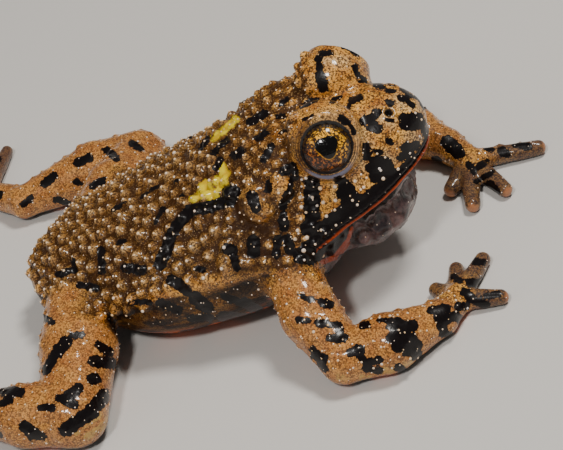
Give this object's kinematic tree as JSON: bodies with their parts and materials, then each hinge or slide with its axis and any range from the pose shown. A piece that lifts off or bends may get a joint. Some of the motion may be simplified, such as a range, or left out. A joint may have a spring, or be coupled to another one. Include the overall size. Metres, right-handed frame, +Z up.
{
  "type": "fire-bellied toad model",
  "caption": "Life-size still model of a fire-bellied toad resting on its belly and forearms, head raised, legs spread, with warty blotched back and golden eyes.",
  "frame": {"origin": "on the floor, below the centre of the toad's bounding box", "axes": "+X the way the toad faces, +Y its left, +Z up"},
  "size_m": [0.0678, 0.0516, 0.0193],
  "materials": {
    "back_skin": "wet warty skin, orange brown with crisp black blotches and green patches",
    "limb_skin": "wet skin, orange brown with black blotches and pale spots",
    "throat_skin": "wet dark grey skin with white dots and red-orange marks",
    "eye": "glossy golden iris with dark veins round a black pupil"
  },
  "bodies": {
    "root": {"head": "back_skin", "throat": "throat_skin", "torso": "back_skin", "eye_left": "eye", "upper_arm_left": "limb_skin", "forearm_left": "limb_skin", "hand_left": "limb_skin", "thigh_left": "limb_skin", "shank_left": "limb_skin", "foot_left": "limb_skin", "eye_right": "eye", "upper_arm_right": "limb_skin", "forearm_right": "limb_skin", "hand_right": "limb_skin", "thigh_right": "limb_skin", "shank_right": "limb_skin", "foot_right": "limb_skin"}
  },
  "joints": []
}
